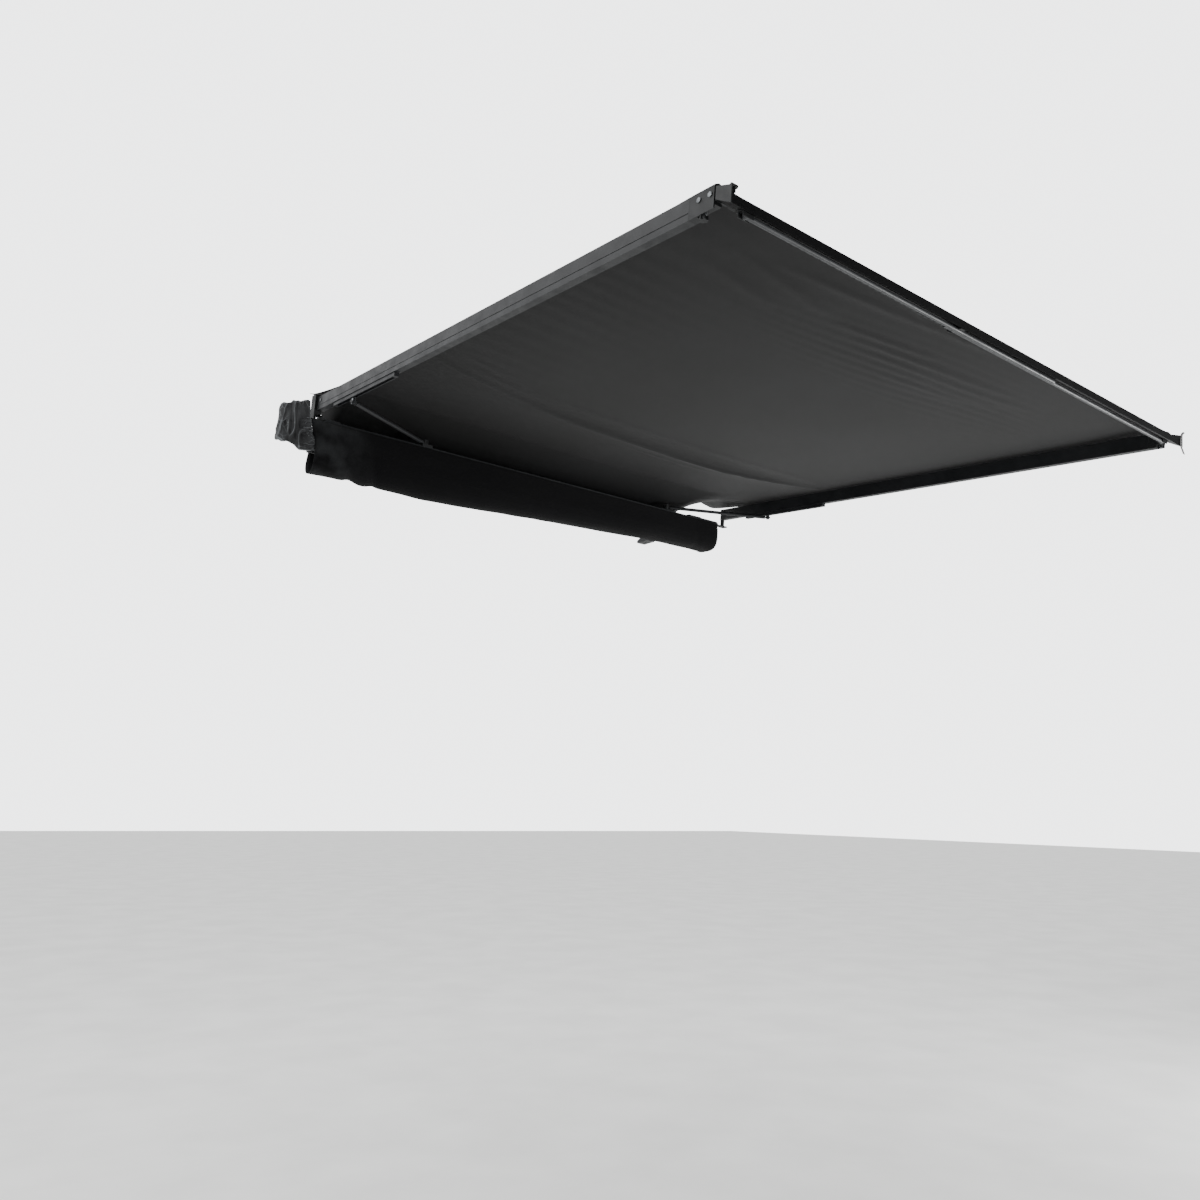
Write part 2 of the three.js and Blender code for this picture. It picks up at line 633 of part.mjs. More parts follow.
for (const [name, face, inner] of [["rear", 0, leadFrom], ["front", span, leadTo]]) {
  const way = Math.sign(inner - face);
  const back = face + way * capThick;
  const mid = face + (way * capThick) / 2;
  const far = inner + way * leadWall * 4;
  const plate = section(capSection, Math.min(face, back), Math.max(face, back));
  const inside = section(leadSection(2 * leadWall), Math.min(mid, far), Math.max(mid, far));
  piece(deck, `lead_end_cap_${name}`, plate.add(inside), blackPlastic());
}

// Tongues on the rail's inner face, one in each fork, with a thin flange and two screws
const tongueRadius = 7.5;
const tongueLow = 10;
const tongueTop = 30;
const flangeThick = 1.9;
const flangeReach = 44;
const screwPitch = 13;
for (const [name, line, out, way] of [
  ["rear", rearLine, rearCornerOut, 1], ["front", frontLine, frontCornerOut, -1],
]) {
  const face = railOut - fit;
  const flange = [line - way * tongueRadius, line + way * flangeReach];
  const screws = [1, 2].map((i) => line + way * (tongueRadius + i * screwPitch - soft));
  const middle = (tongueLow + tongueTop) / 2;
  const heads = screws.map((along) => bar(at(along, face - flangeThick - grooveDeep, middle),
    at(along, face - flangeThick / 2, middle), boltRadius, boltSides));
  const made = join(...heads,
    disc(line, out, tongueRadius, tongueLow, tongueTop),
    block([line - tongueRadius, out, tongueLow], [line + tongueRadius, face, tongueTop]),
    block([Math.min(...flange), face - flangeThick, tongueLow], [Math.max(...flange), face, tongueTop]),
  ).subtract(disc(line, out, pinRadius + fit, tongueLow - overrun, tongueTop + overrun));
  piece(deck, `lead_tongue_${name}`, made, blackCast());
}

// Thumb screw that stands on the rail's sloping top at its rear end, with a cross bar for a handle
const thumbAlong = 14;
const thumbInset = 8;
const thumbOut = railOut + leadDepth - thumbInset;
const thumbLong = 16;
const thumbTop = 30;
const thumbFoot = roof(thumbOut - railOut - pinRadius) + fit;
piece(deck, "lead_thumb_screw", join(
  disc(thumbAlong, thumbOut, pinRadius, thumbFoot, thumbTop, boltSides),
  bar(at(thumbAlong - thumbLong / 2, thumbOut, thumbTop), at(thumbAlong + thumbLong / 2, thumbOut, thumbTop),
    pinRadius, boltSides),
), blackPlastic());

// Level of the legs, which lie along the rail's sloping underside
const slope = Math.atan2(leadInnerLow - leadOuterLow, leadDepth);
const laneLevel = (across) => underside(across) - (legRadius + fit + clipBack) / Math.cos(slope);

// Legs: telescopic tubes that lie under the rail in two lanes and swing down from its two ends
const legs = {
  front: { across: laneStart, hinge: span - legInset, way: -1 },
  rear: { across: laneStart + lanePitch, hinge: legInset, way: 1 },
};
const yokeWall = 1.8;
const yokeLong = 30;
const collarLong = 24;
const legPin = 2;
const footLong = 20;
for (const [name, leg] of Object.entries(legs)) {
  const out = railOut + leg.across;
  const level = laneLevel(leg.across);
  const place = (far, up = 0) => at(leg.hinge + leg.way * far, out, level + up);
  const sides = [out - legRadius - slack - yokeWall, out + legRadius + slack + yokeWall];
  const low = level - legRadius + fit;
  const yoke = section([
    [sides[0], underside(sides[0] - railOut) - railGap], [sides[0], low], [sides[1], low],
    [sides[1], underside(sides[1] - railOut) - railGap],
  ], leg.hinge - yokeLong / 2, leg.hinge + yokeLong / 2)
    .subtract(block([leg.hinge - yokeLong, out - legRadius - slack, level - 2 * armWidth],
      [leg.hinge + yokeLong, out + legRadius + slack, level + legRadius + slack / 2]))
    .add(bar(at(leg.hinge, sides[0] + fit, level), at(leg.hinge, sides[1] - fit, level), legPin, boltSides));
  piece(deck, `leg_yoke_${name}`, yoke, blackCast());
  const cross = bar(at(leg.hinge, out - armWidth, level), at(leg.hinge, out + armWidth, level), legPin + fit, boltSides);
  const outer = join(bar(place(0), place(legLength), legRadius), bar(at(leg.hinge, out - legRadius, level),
    at(leg.hinge, out + legRadius, level), legRadius))
    .subtract(bar(place(armWidth), place(legLength + overrun), legRadius - legWall))
    .subtract(cross);
  piece(deck, `leg_outer_${name}`, outer, blackPowder());
  const inner = join(
    bar(place(armWidth + overrun), place(legLength + soft), legInner),
    bar(place(legLength + fit), place(legLength + footLong), legRadius),
  );
  piece(deck, `leg_inner_${name}`, inner, blackPowder());
}

// Clip under the rail that both folded legs snap into, near the foot of the front one
const clipLong = 18;
const clipFromFoot = 30;
const clipAlong = legs.front.hinge - legLength - footLong + clipFromFoot;
const clipWall = 1.6;
function legClip() {
  const from = railOut + soft;
  const to = railOut + leadDepth - soft;
  const low = laneLevel(laneStart + lanePitch) - legRadius / 2;
  let made = section([
    [from, underside(soft) - railGap], [from, low + headGrow], [to, low], [to, underside(leadDepth - soft) - railGap],
  ], clipAlong - clipLong / 2, clipAlong + clipLong / 2);
  for (const leg of Object.values(legs)) {
    const out = railOut + leg.across;
    const level = laneLevel(leg.across);
    made = made.subtract(block([clipAlong - clipLong, out - legRadius - fit, level - 2 * armWidth],
      [clipAlong + clipLong, out + legRadius + fit, level + fit]));
    made = made.subtract(bar(at(clipAlong - clipLong, out, level), at(clipAlong + clipLong, out, level), legRadius + fit));
  }
  return made;
}
piece(deck, "leg_clip", legClip(), blackPlastic());

// Webbing strap on the front end of the lead rail: a loop over its top and a free tail below
const strapInset = 22;
const strapFrom = span - strapInset;
const strapWide = 12;
const strapThick = 1.5;
const strapOut = railOut + leadDepth + fit + strapThick / 2;
const strapLoop = 9;
const strapTail = 28;
const strapLine = [
  [strapOut + strapLoop, leadOuterLow - strapTail], [strapOut + strapLoop / 2, leadOuterLow - strapTail / 2],
  [strapOut, leadOuterLow], [strapOut, leadOuterTop], [strapOut + strapLoop / 3, leadCapTop],
  [strapOut + strapLoop, leadCapTop + strapLoop / 2],
];
piece(deck, "corner_strap", section(strip(strapLine, strapThick), strapFrom, strapFrom + strapWide), cloth());

// Canopy: one cloth over both arms and the lead rail, its inner edge down on the keder strip
const canopyInset = capThick + 1;
const canopyInner = 8;
const canopyLap = 14;
const canopyOuter = railOut + canopyLap;
const curtainOut = 300;
const creaseOut = 720;
const creaseWide = 40;
const creaseDeep = 10;
const sagDeep = 24;
const pinClear = headThick + fit;
const kederTop = shelfTop + kederHigh + kederBead + 3 * fit;
const edgeLow = (kederTop - deckLift + canopyInner * Math.sin(tiltAngle)) / Math.cos(tiltAngle);
const rearArch = 78;
const frontArch = 83;
const frontEdge = 62;
const rearArchTo = 80;
const archLong = 300;
const archPeak = 135;
const frontArchFrom = span - archLong;
const frontArchPeak = span - archPeak;
const puckerHigh = 5;
const puckerShare = 0.045;
const riseShare = 0.6;

// Even steps from one place to another, without the last
const steps = (from, to, count) => Array.from({ length: count }, (_, i) => lean(from, to, i / count));
const canopyAlong = [
  canopyInset, armWidth, ...steps(armWidth + overrun, rearArchTo, 2), ...steps(rearArchTo, frontArchFrom, 13),
  ...steps(frontArchFrom, frontArchPeak, 2), frontArchPeak, ...steps(frontArchPeak + armWidth, span - armWidth, 2),
  span - armWidth, span - canopyInset,
];
const canopyOut = [
  canopyInner, ...steps(canopyInner + creaseWide, curtainOut, 5), ...steps(curtainOut, creaseOut - creaseWide, 4),
  creaseOut - creaseWide, creaseOut, creaseOut + creaseWide,
  ...steps(creaseOut + 2 * creaseWide, rearCornerOut - armWidth, 8), rearCornerOut - armWidth,
  rearCornerOut, frontCornerOut, railOut, canopyOuter,
];

function innerEdge(along) {
  const rear = 1 - ease(along, armWidth + overrun, rearArchTo);
  const front = ease(along, frontArchFrom, frontArchPeak);
  const fall = ease(along, frontArchPeak, span - armWidth);
  return lean(lean(edgeLow, rearArch, rear), lean(frontArch, frontEdge, fall), front);
}

function canopyHeight(along, out) {
  const across = Math.sin(Math.PI * THREE.MathUtils.clamp((along - armWidth) / (span - 2 * armWidth), 0, 1));
  const down = Math.sin(Math.PI * THREE.MathUtils.clamp((out - canopyInner) / (railOut - canopyInner), 0, 1));
  const nearPins = ease(out, rearCornerOut - 4 * armWidth, rearCornerOut - armWidth);
  const overRail = ease(out, rearCornerOut - 4 * armWidth, railOut) * Math.min(4 * across, 1);
  const flat = lean(armTop + fit + pinClear * nearPins, leadInnerTop + 2 * fit, overRail);
  const crease = creaseDeep * Math.exp(-(((out - creaseOut) / creaseWide) ** 2)) * Math.sqrt(across);
  const pucker = puckerHigh * Math.sin(along * puckerShare) * (1 - ease(out, canopyInner, 2 * curtainOut));
  const field = flat - sagDeep * Math.sqrt(across * down) - crease;
  const rise = Math.min(Math.max((out - canopyInner) / (curtainOut - canopyInner), 0), 1) ** riseShare;
  if (out <= railOut) return lean(innerEdge(along), field, rise) + pucker * across * rise;
  return roof(out - railOut) + 2 * fit;
}

const canopySkin = skin(canopyOut.length - 1, canopyAlong.length - 1, (i, j, side) => at(
  canopyAlong[j], canopyOut[i], canopyHeight(canopyAlong[j], canopyOut[i]) + side * soft,
));
piece(deck, "canopy", canopySkin, cloth());

// Cover bag: a long trough of cloth hung from the shelf's front edge and closed under the web
const bagOver = 58;
const bagSkew = 56;
const bagFrom = -mountLength / 2 - bagOver;
const bagTo = mountLength / 2;
const bagThick = 3;
const bagBulge = 8;
const bagRearLow = -138;
const bagFrontLow = -84;
const bagClimbShares = [0.2, 0.9];
const bagSteps = 16;
const bagArcs = 10;
const bagBackOut = 6;
const bagWave = 2.5;
const pipeRadius = 3;
const shelfLow = shelfTop - shelfThick;

// The trough's outer line at a place along, as a share of the way round from front to back
function bagLine(along, share) {
  const progress = (along - bagFrom) / (bagTo - bagFrom);
  const low = lean(bagRearLow, bagFrontLow, ease(progress, ...bagClimbShares)) + bagWave * Math.sin(progress * bagSteps);
  const front = mountDepth + fit + bagThick;
  const middle = (front + bagBackOut) / 2;
  const turn = Math.PI * share;
  const hang = lean(shelfLow, -mountHeight / 2 - fit, share);
  return new THREE.Vector2(
    middle + (front - middle) * Math.cos(turn) + bagBulge * Math.sin(turn) ** 2,
    hang - (hang - low) * Math.sin(turn) ** (1 / 2),
  );
}

// The trough's skin, whose first column is the seam up the shelf's edge and whose rear end is cut askew
const nudgeShare = 0.02;
function bagPoint(along, column, inner) {
  if (column === 0) return at(along, mountDepth + fit + bagThick * (1 - inner), shelfTop - shelfThick / 2);
  const share = (column - 1) / bagArcs;
  const here = bagLine(along, share);
  const before = bagLine(along, Math.max(share - nudgeShare, 0));
  const after = bagLine(along, Math.min(share + nudgeShare, 1));
  const way = after.sub(before).normalize();
  const upright = column === 1 || column === bagArcs + 1 ? new THREE.Vector2(0, column === 1 ? -1 : 1) : way;
  return at(along, here.x + upright.y * inner * bagThick, here.y - upright.x * inner * bagThick);
}

function coverBag() {
  const askew = (i, j) => (i === 0 ? (bagSkew * Math.max(j - 1, 0)) / bagArcs : 0);
  const cloths = skin(bagSteps, bagArcs + 1,
    (i, j, side) => bagPoint(lean(bagFrom, bagTo, i / bagSteps) + askew(i, j), j, side));
  const line = Array.from({ length: bagArcs + 1 }, (_, i) => bagLine(bagTo, i / bagArcs));
  const endPanel = section([
    ...line.map((point) => [point.x, point.y]),
    [mountWeb + fit, -mountHeight / 2 - fit], [mountWeb + fit, shelfLow - fit], [mountDepth + fit, shelfLow - fit],
  ], bagTo - bagThick, bagTo);
  const piping = line.slice(2, -1).map((point, i) => bar(at(bagTo, line[i + 1].x, line[i + 1].y),
    at(bagTo, point.x, point.y), pipeRadius, 8));
  return join(cloths, endPanel, ...piping);
}
piece(awning, "cover_bag", coverBag(), cloth());

// End flap: the bag's rear end, folded back on itself and standing behind the rear hinge. Each fold is
// given at its foot and at its top, as along from the bag's end, out and up
const flapFolds = [
  [[-1.4, 150, -68], [-1.4, 150, 96]], [[-16, 156, -71], [-34, 155, 80]], [[-58, 153, -63], [-62, 152, 70]],
  [[-104, 148, -58], [-85, 148, 57]], [[-97, 112, -52], [-80, 118, 62]], [[-66, 88, -45], [-58, 96, 50]],
].map((fold) => fold.map(([along, out, up]) => at(bagFrom + along, out, up)));
const flapRows = 4;
const flapHalf = 3;
function flapPoint(i, j, side) {
  const here = flapFolds[j][0].clone().lerp(flapFolds[j][1], i / flapRows);
  const before = flapFolds[Math.max(j - 1, 0)][0];
  const after = flapFolds[Math.min(j + 1, flapFolds.length - 1)][0];
  const way = after.clone().sub(before).setZ(0).normalize();
  const push = (1 - 2 * side) * flapHalf;
  return here.add(new THREE.Vector3(way.y * push, -way.x * push, 0));
}
piece(awning, "bag_end_flap", skin(flapRows, flapFolds.length - 1, flapPoint), cloth());

export default awning;
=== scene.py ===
import json
import math

import bmesh
import bpy
import numpy as np
from mathutils import Matrix, Vector, noise
from mathutils.bvhtree import BVHTree


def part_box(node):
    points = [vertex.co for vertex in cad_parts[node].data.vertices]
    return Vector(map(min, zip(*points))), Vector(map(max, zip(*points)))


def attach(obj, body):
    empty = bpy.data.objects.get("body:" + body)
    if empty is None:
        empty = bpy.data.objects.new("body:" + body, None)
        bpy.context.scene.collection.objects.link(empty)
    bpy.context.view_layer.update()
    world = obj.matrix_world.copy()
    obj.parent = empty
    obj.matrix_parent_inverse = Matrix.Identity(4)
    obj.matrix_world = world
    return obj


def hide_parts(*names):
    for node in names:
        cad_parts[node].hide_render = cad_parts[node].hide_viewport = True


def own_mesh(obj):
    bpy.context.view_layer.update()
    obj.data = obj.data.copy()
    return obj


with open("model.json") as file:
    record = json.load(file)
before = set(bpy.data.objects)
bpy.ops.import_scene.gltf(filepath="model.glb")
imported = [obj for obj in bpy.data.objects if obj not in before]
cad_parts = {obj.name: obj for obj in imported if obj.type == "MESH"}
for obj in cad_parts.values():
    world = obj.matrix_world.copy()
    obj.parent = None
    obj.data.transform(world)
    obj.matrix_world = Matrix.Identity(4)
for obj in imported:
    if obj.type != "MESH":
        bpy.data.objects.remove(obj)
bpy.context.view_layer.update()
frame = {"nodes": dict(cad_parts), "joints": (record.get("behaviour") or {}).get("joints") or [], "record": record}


# Camera: behind the awning's rear end and below its deck, as the photograph was taken, rolled by
# about one degree and looking up at the canopy's underside
camera = bpy.data.objects.new("camera", bpy.data.cameras.new("camera"))
bpy.context.collection.objects.link(camera)
camera.data.sensor_width = 36
camera.data.lens = 30.115
camera_place = Vector((-2.19887, -3.264, -1.22441))
ahead = Vector((0.60814, 0.76826, 0.19986)).normalized()
roll = math.radians(1.1615)
level = ahead.cross(Vector((0, 0, 1))).normalized()
right = level * math.cos(roll) + level.cross(ahead) * math.sin(roll)
turn = Matrix((right, right.cross(ahead), -ahead)).transposed()
camera.matrix_world = Matrix.Translation(camera_place) @ turn.to_4x4()
bpy.context.scene.camera = camera


# Floor: swept pale ground, which looks matt with faint blotches a third of a metre wide. It lies low
# enough for the legs when they are folded down and drawn out
floor_level = -2.25
floor_size = 60
ground_blotches = 3.0
ground_roughness = 0.9


def paint(code):
    """The scene-linear colour of an sRGB hex code."""
    channels = [int(code[i:i + 2], 16) / 255 for i in (1, 3, 5)]
    return [c / 12.92 if c <= 0.04045 else ((c + 0.055) / 1.055) ** 2.4 for c in channels] + [1.0]


def add(material, kind, inputs=None, **settings):
    """A new node with its settings, and its inputs given as values or as other nodes' sockets."""
    node = material.node_tree.nodes.new(kind)
    for key, value in settings.items():
        setattr(node, key, value)
    for key, value in (inputs or {}).items():
        if isinstance(value, bpy.types.NodeSocket):
            material.node_tree.links.new(value, node.inputs[key])
        else:
            node.inputs[key].default_value = value
    return node


def new_material(name):
    """An empty material with its shader and output, and the object coordinates that textures use."""
    material = bpy.data.materials.new(name)
    material.use_nodes = True
    material.node_tree.nodes.clear()
    shader = add(material, "ShaderNodeBsdfPrincipled")
    add(material, "ShaderNodeOutputMaterial", {"Surface": shader.outputs["BSDF"]})
    place = add(material, "ShaderNodeTexCoord").outputs["Object"]
    return material, shader, place


def join_socket(material, source, target):
    material.node_tree.links.new(source, target)


def mix_colour(material, share, low, high):
    """A colour between two hex codes, by a socket from 0 to 1."""
    return add(material, "ShaderNodeMix", {"Factor": share, "A": paint(low), "B": paint(high)},
               data_type="RGBA").outputs["Result"]


def speckle(material, place, scale, detail=4, low=0.35, high=0.65):
    """Soft patches, as many in a metre as the scale says, stretched so that low turns to 0 and high to 1."""
    pattern = add(material, "ShaderNodeTexNoise", {"Vector": place, "Scale": scale, "Detail": detail})
    return add(material, "ShaderNodeMapRange", {"Value": pattern.outputs["Fac"], "From Min": low,
                                               "From Max": high}).outputs["Result"]


def swept_pale_ground():
    material, shader, place = new_material("swept_pale_ground")
    shade = mix_colour(material, speckle(material, place, ground_blotches), "#e9e9e7", "#f2f2f0")
    join_socket(material, shade, shader.inputs["Base Color"])
    shader.inputs["Roughness"].default_value = ground_roughness
    return material


bpy.ops.mesh.primitive_plane_add(size=floor_size, location=(1.0, -1.0, floor_level))
floor = bpy.context.object
floor.name = "floor"
floor.data.materials.append(swept_pale_ground())


# Light: a pale sky that is stronger from ahead lights the object, and the camera itself sees an even
# backdrop of the same colour. One soft lamp stands on the rear arm's side and one under the outer corner
sky_colour = paint("#f6f7f8")
bright_way = (0.1, 0.95, 0.3)
sky_low = 0.10
sky_high = 2.1
sky_turn = 0.35
backdrop_level = 4.0
world = bpy.data.worlds.new("pale_sky")
world.use_nodes = True
towards = add(world, "ShaderNodeTexCoord").outputs["Generated"]
facing = add(world, "ShaderNodeVectorMath", {0: towards, 1: bright_way},
             operation="DOT_PRODUCT").outputs["Value"]
sky_level = add(world, "ShaderNodeMapRange", {"Value": facing, "From Min": -sky_turn, "From Max": sky_turn,
                                              "To Min": sky_low, "To Max": sky_high},
                interpolation_type="SMOOTHSTEP")
seen = add(world, "ShaderNodeLightPath").outputs["Is Camera Ray"]
strength = add(world, "ShaderNodeMix", {"Factor": seen, "A": sky_level.outputs["Result"],
                                        "B": backdrop_level})
background = world.node_tree.nodes["Background"]
background.inputs["Color"].default_value = sky_colour
join_socket(world, strength.outputs["Result"], background.inputs["Strength"])
bpy.context.scene.world = world


def soft_lamp(name, place, target, size, power):
    lamp = bpy.data.objects.new(name, bpy.data.lights.new(name, "AREA"))
    bpy.context.collection.objects.link(lamp)
    lamp.data.size = size
    lamp.data.energy = power
    lamp.location = place
    lamp.rotation_euler = (Vector(target) - Vector(place)).to_track_quat("-Z", "Y").to_euler()


soft_lamp("rear_side", place=(-4.2, -0.6, 0.9), target=(-0.9, -0.6, 0.05), size=1.6, power=115)
soft_lamp("outer_low", place=(2.7, -3.2, -1.5), target=(1.1, -1.7, 0.0), size=1.0, power=170)


# Rails, arms and stays: extruded aluminium under black powder coat, which looks dull black with a fine
# orange peel, dust in patches and paler rubbed edges. The lead rail has a copy of the same coat painted
# blacker, as painted shade, and the legs are dark anodised tube, a little greyer
dust_patches = 9.0
gloss_patches = 22.0
chipped_spots = 35.0
worn_band = 0.0016
worn_from = 0.99
worn_fully = 0.8
glossier_by = 0.06
duller_by = 0.08
peel_strength = 0.25
peel_height = 0.0004
orange_peel = 1800.0


def edge_wear(material, place):
    """How close a point lies to a sharp edge, broken up so that the coat is rubbed only here and there."""
    rounded = add(material, "ShaderNodeBevel", {"Radius": worn_band}, samples=4).outputs["Normal"]
    flat = add(material, "ShaderNodeNewGeometry").outputs["Normal"]
    lined = add(material, "ShaderNodeVectorMath", {0: rounded, 1: flat},
                operation="DOT_PRODUCT").outputs["Value"]
    edge = add(material, "ShaderNodeMapRange", {"Value": lined, "From Min": worn_from,
                                               "From Max": worn_fully})
    chips = speckle(material, place, chipped_spots)
    return add(material, "ShaderNodeMath", {0: edge.outputs["Result"], 1: chips},
               operation="MULTIPLY").outputs["Value"]


def bump(material, shader, height, strength, distance):
    node = add(material, "ShaderNodeBump", {"Height": height, "Strength": strength, "Distance": distance})
    join_socket(material, node.outputs["Normal"], shader.inputs["Normal"])


def coated(name, low, high, worn, roughness, grain, shine=0.22):
    """Coated metal or moulded plastic: two tones of dust, paler worn edges and a grain of so many bumps
    in a metre, where 1800 puts them 0.55 mm apart."""
    material, shader, place = new_material(name)
    shader.inputs["Specular IOR Level"].default_value = shine
    tone = mix_colour(material, speckle(material, place, dust_patches), low, high)
    wear = edge_wear(material, place)
    edges = add(material, "ShaderNodeMix", {"Factor": wear, "A": tone, "B": paint(worn)}, data_type="RGBA")
    join_socket(material, edges.outputs["Result"], shader.inputs["Base Color"])
    gloss = speckle(material, place, gloss_patches)
    rough = add(material, "ShaderNodeMapRange", {"Value": gloss, "To Min": roughness - glossier_by,
                                                "To Max": roughness + duller_by}).outputs["Result"]
    join_socket(material, rough, shader.inputs["Roughness"])
    fine = add(material, "ShaderNodeTexNoise", {"Vector": place, "Scale": grain, "Detail": 2.0})
    bump(material, shader, fine.outputs["Fac"], peel_strength, peel_height)
    return material


def in_slot(slot):
    """The names of the solids that the record gives one kind of finish."""
    return [part["node"] for part in frame["record"]["subparts"] if part["material_slot"] == slot]


def dress(names, finish):
    for name in names:
        solid_materials = frame["nodes"][name].data.materials
        solid_materials.clear()
        solid_materials.append(finish)


powder_coat = coated("powder_coated_aluminium", low="#131416", high="#1a1b1d", worn="#3a3c3e",
                     roughness=0.45, grain=orange_peel)
# The lead rail's copy of the powder coat is painted darker, as shade on its outer face
lead_coat_painted_shade = coated("powder_coat_painted_shade_lead_rail", low="#050506", high="#09090a", worn="#1c1d1e",
                   roughness=0.5, grain=orange_peel, shine=0.07)
leg_coat = coated("dark_anodised_tube", low="#2b2c2e", high="#38393b", worn="#5a5c5e",
                  roughness=0.4, grain=orange_peel)
dress(in_slot("black_powder_coat"), powder_coat)
dress(["lead_rail"], lead_coat_painted_shade)
dress(["leg_outer_rear", "leg_outer_front", "leg_inner_rear", "leg_inner_front"], leg_coat)


# Hinge, latch, forks, tongues and yokes: painted castings, rougher than the rails, with sand marks
# 1.4 mm apart
sand_marks = 700.0
casting = coated("painted_casting", low="#121314", high="#191a1b", worn="#333537", roughness=0.58,
                 grain=sand_marks)
dress(in_slot("black_cast_metal"), casting)


# End caps, knobs, thumb screw and leg clip: moulded plastic, an even dull black with a spark-eroded
# grain 0.8 mm apart, drawn coarse so that it shows
spark_grain = 1200.0
moulding = coated("moulded_plastic", low="#101112", high="#161718", worn="#292a2c", roughness=0.5,
                  grain=spark_grain)
dress(in_slot("black_moulded_plastic"), moulding)


# Bolts and pins: zinc-plated steel, bright grey metal with a fine brushed grain and duller patches
# where the plating has weathered
zinc_patches = 60.0
weathered_patches = 90.0
bright_roughness = 0.25
weathered_roughness = 0.5
brushed_grain = 900.0
brushed_strength = 0.2
brushed_height = 0.0002


def plated_steel():
    material, shader, place = new_material("plated_steel")
    tone = mix_colour(material, speckle(material, place, zinc_patches), "#4c4e50", "#707274")
    join_socket(material, tone, shader.inputs["Base Color"])
    shader.inputs["Metallic"].default_value = 1.0
    dull = speckle(material, place, weathered_patches)
    rough = add(material, "ShaderNodeMapRange", {"Value": dull, "To Min": bright_roughness,
                                                "To Max": weathered_roughness}).outputs["Result"]
    join_socket(material, rough, shader.inputs["Roughness"])
    fine = add(material, "ShaderNodeTexNoise", {"Vector": place, "Scale": brushed_grain})
    bump(material, shader, fine.outputs["Fac"], brushed_strength, brushed_height)
    return material


dress(in_slot("zinc_fastener"), plated_steel())


# Canopy: one dull coated weave, hemmed along both arms and the lead rail. It lies on all three, follows
# its solid, and has the long crease, the puckers beside the rear arm and the slack of the photograph
cloth_blotches = 2.2
cloth_shine = 0.12
sheen_roughness = 0.5
thread_strength = 0.15
thread_height = 0.0003
canopy_thread = 420.0
canopy_thick = 0.0012
hem_from_edge = 0.03
stitch_wide = 0.0022
stitch_long = 0.012
stitch_gap = 0.3
sheet_low, sheet_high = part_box("canopy")


def woven(name, low, high, roughness, thread, sheen, stitch_and_light_tone=None, stitch_and_light_where=None):
    """Woven cloth: crossed threads, blotches of wear, a faint sheen, and a second tone, used for sewn places and
    for painted light.
    A thread scale of 420 puts them 0.75 mm apart, and 260 puts them 1.2 mm apart."""
    material, shader, place = new_material(name)
    tone = mix_colour(material, speckle(material, place, cloth_blotches, detail=6), low, high)
    # The second tone draws stitches on the canopy, and painted light and painted highlights on the bag and flap
    if stitch_and_light_tone:
        tone = add(material, "ShaderNodeMix", {"Factor": stitch_and_light_where(material, place), "A": tone,
                                               "B": paint(stitch_and_light_tone)}, data_type="RGBA").outputs["Result"]
    join_socket(material, tone, shader.inputs["Base Color"])
    shader.inputs["Roughness"].default_value = roughness
    shader.inputs["Specular IOR Level"].default_value = cloth_shine
    shader.inputs["Sheen Weight"].default_value = sheen
    shader.inputs["Sheen Roughness"].default_value = sheen_roughness
    warp = add(material, "ShaderNodeTexWave", {"Vector": place, "Scale": thread}, bands_direction="X")
    weft = add(material, "ShaderNodeTexWave", {"Vector": place, "Scale": thread}, bands_direction="Y")
    threads = add(material, "ShaderNodeMath", {0: warp.outputs["Fac"], 1: weft.outputs["Fac"]},
                  operation="MULTIPLY").outputs["Value"]
    bump(material, shader, threads, thread_strength, thread_height)
    return material


def on_hems(material, place):
    """The lines of stitches that hold the hems beside the arms and along the lead rail, drawn coarse."""
    split = add(material, "ShaderNodeSeparateXYZ", {"Vector": place})
    along = split.outputs["X"]
    across = split.outputs["Y"]
    lines = ((along, sheet_low[0] + hem_from_edge), (along, sheet_high[0] - hem_from_edge),
             (across, sheet_low[1] + hem_from_edge * 2))
    nearest = None
    for axis, line in lines:
        away = add(material, "ShaderNodeMath", {0: axis, 1: line}, operation="SUBTRACT").outputs["Value"]
        away = add(material, "ShaderNodeMath", {0: away}, operation="ABSOLUTE").outputs["Value"]
        if nearest:
            away = add(material, "ShaderNodeMath", {0: away, 1: nearest},
                       operation="MINIMUM").outputs["Value"]
        nearest = away
    stitch = add(material, "ShaderNodeMapRange", {"Value": nearest, "From Min": stitch_wide,
                                                 "From Max": stitch_wide / 2}).outputs["Result"]
    both = add(material, "ShaderNodeMath", {0: along, 1: across}).outputs["Value"]
    step = add(material, "ShaderNodeMath", {0: both, 1: stitch_long}, operation="PINGPONG").outputs["Value"]
    gap = add(material, "ShaderNodeMath", {0: step, 1: stitch_long * stitch_gap},
              operation="GREATER_THAN").outputs["Value"]
    return add(material, "ShaderNodeMath", {0: stitch, 1: gap}, operation="MULTIPLY").outputs["Value"]


canopy_cloth = woven("coated_canopy_cloth", "#060606", "#0b0b0c", roughness=0.6, thread=canopy_thread,
                     sheen=0.02, stitch_and_light_tone="#2e2f30", stitch_and_light_where=on_hems)

# The arms' deck leans down, so along, out and up are measured from the rear arm's hinge
hinge = next(joint for joint in frame["joints"] if joint["name"] == "rear_arm_swing")
hinge_place = Vector(hinge["pos_m"])
deck_up = Vector(hinge["axis"]).normalized()
deck_out = -deck_up.cross(Vector((1, 0, 0)))


def on_deck(along, out, up):
    return hinge_place + Vector((1, 0, 0)) * along + deck_out * out + deck_up * up


def deck_box(node):
    """The low and high corners of a solid along, out and up from the rear hinge."""
    places = [v.co - hinge_place for v in frame["nodes"][node].data.vertices]
    measured = np.array([(p.x, p.dot(deck_out), p.dot(deck_up)) for p in places])
    return measured.min(0), measured.max(0)


